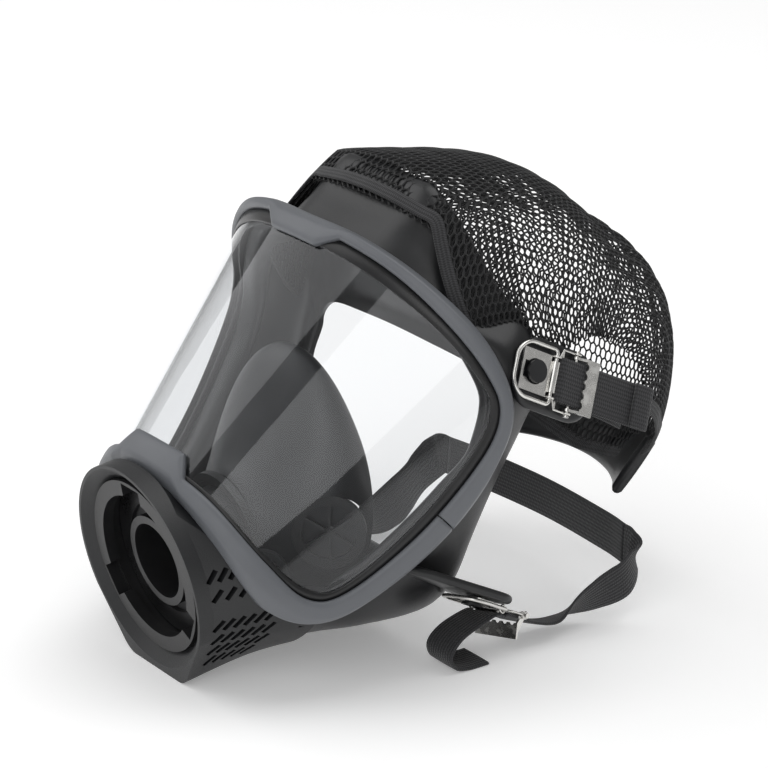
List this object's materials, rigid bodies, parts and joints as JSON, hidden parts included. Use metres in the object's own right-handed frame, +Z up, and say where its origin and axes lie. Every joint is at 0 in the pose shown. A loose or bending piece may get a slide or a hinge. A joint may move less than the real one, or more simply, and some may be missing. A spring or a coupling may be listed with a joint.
{
  "type": "full face respirator",
  "caption": "Full face respirator: wide clear lens in a two-part frame, black housing with a round bayonet regulator port, nose cup, rubber face seal, net head harness and strap buckles.",
  "frame": {"origin": "middle of the mask's footprint, on the floor that it lies on", "axes": "+Z up, -Y the wearer's front, +X the wearer's left; the mask lies face up at a slant on its housing and lower straps"},
  "size_m": [0.1852, 0.227, 0.171],
  "materials": {
    "visor": "clear hard-coated polycarbonate",
    "frame_plastic": "blue-grey satin moulded frame",
    "black_plastic": "matte black moulded housing",
    "grey_plastic": "light grey moulded valve parts",
    "face_rubber": "satin black rubber",
    "gasket_rubber": "black seal rubber",
    "cup_rubber": "satin dark grey nose cup rubber",
    "valve_rubber": "pale translucent valve rubber",
    "nickel": "nickel-plated steel",
    "film_metal": "thin metal film",
    "webbing": "ribbed black webbing",
    "net": "black knitted net"
  },
  "bodies": {
    "mask": {"buckle_pins": "nickel", "component_housing": "black_plastic", "exhalation_spring": "nickel", "exhalation_valve_cover": "black_plastic", "exhalation_valve_seat": "grey_plastic", "faceblank": "face_rubber", "frame_lower": "frame_plastic", "frame_screws": "nickel", "frame_upper": "frame_plastic", "head_net": "net", "inhalation_tube": "black_plastic", "inhalation_valve_seat": "grey_plastic", "lens": "visor", "lens_gasket": "gasket_rubber", "lower_bail_left": "nickel", "lower_bail_right": "nickel", "lower_clip_plate_left": "nickel", "lower_clip_plate_right": "nickel", "lower_d_ring_left": "nickel", "lower_d_ring_right": "nickel", "lower_strap_left": "webbing", "lower_strap_right": "webbing", "nape_band": "webbing", "nape_pad": "webbing", "nose_cup": "cup_rubber", "nose_cup_retainer": "black_plastic", "nose_cup_valve_seat_left": "grey_plastic", "nose_cup_valve_seat_right": "grey_plastic", "port_gasket": "gasket_rubber", "port_ring": "black_plastic", "speaking_diaphragm": "film_metal", "speaking_diaphragm_cage": "black_plastic", "strap_studs": "face_rubber", "temple_bail_left": "nickel", "temple_bail_right": "nickel", "temple_clip_plate_left": "nickel", "temple_clip_plate_right": "nickel", "temple_d_ring_left": "nickel", "temple_d_ring_right": "nickel", "temple_strap_left": "webbing", "temple_strap_right": "webbing", "temple_tail_left": "webbing", "temple_tail_right": "webbing"},
    "temple_lever_left": {"temple_lever_left": "nickel"},
    "temple_lever_right": {"temple_lever_right": "nickel"},
    "lower_lever_left": {"lower_lever_left": "nickel"},
    "lower_lever_right": {"lower_lever_right": "nickel"},
    "exhalation_disc": {"exhalation_valve_disc": "valve_rubber"},
    "nose_cup_disc_left": {"nose_cup_valve_disc_left": "valve_rubber"},
    "nose_cup_disc_right": {"nose_cup_valve_disc_right": "valve_rubber"},
    "inhalation_disc": {"inhalation_valve_disc": "valve_rubber"}
  },
  "joints": [
    {"name": "temple_lever_left_hinge", "type": "hinge", "parent": "mask", "child": "temple_lever_left", "pos_m": [0.08318, 0.02457, 0.109], "axis": [0.2997, -0.4498, -0.8413], "range_deg": [0, 80]},
    {"name": "temple_lever_right_hinge", "type": "hinge", "parent": "mask", "child": "temple_lever_right", "pos_m": [-0.08318, 0.02457, 0.109], "axis": [0.2997, 0.4498, 0.8413], "range_deg": [0, 80]},
    {"name": "lower_lever_left_hinge", "type": "hinge", "parent": "mask", "child": "lower_lever_left", "pos_m": [0.05966, 0.01314, 0.01525], "axis": [-0.9627, -0.2106, -0.1697], "range_deg": [-80, 10]},
    {"name": "lower_lever_right_hinge", "type": "hinge", "parent": "mask", "child": "lower_lever_right", "pos_m": [-0.05966, 0.01314, 0.01525], "axis": [-0.9627, 0.2106, 0.1697], "range_deg": [-80, 10]},
    {"name": "exhalation_valve_slide", "type": "slide", "parent": "mask", "child": "exhalation_disc", "axis": [0, -0.12, -0.9928], "range_m": [0, 0.002], "stiffness_N_per_m": 60, "springref_m": -0.0015, "deforming": ["exhalation_spring"]},
    {"name": "nose_cup_valve_left_slide", "type": "slide", "parent": "mask", "child": "nose_cup_disc_left", "axis": [-0.8011, 0.5708, -0.1802], "range_m": [0, 0.0015], "stiffness_N_per_m": 25, "springref_m": -0.001},
    {"name": "nose_cup_valve_right_slide", "type": "slide", "parent": "mask", "child": "nose_cup_disc_right", "axis": [0.8011, 0.5708, -0.1802], "range_m": [0, 0.0015], "stiffness_N_per_m": 25, "springref_m": -0.001},
    {"name": "inhalation_valve_slide", "type": "slide", "parent": "mask", "child": "inhalation_disc", "axis": [0, 0.9857, 0.1685], "range_m": [0, 0.0015], "stiffness_N_per_m": 25, "springref_m": -0.001}
  ]
}
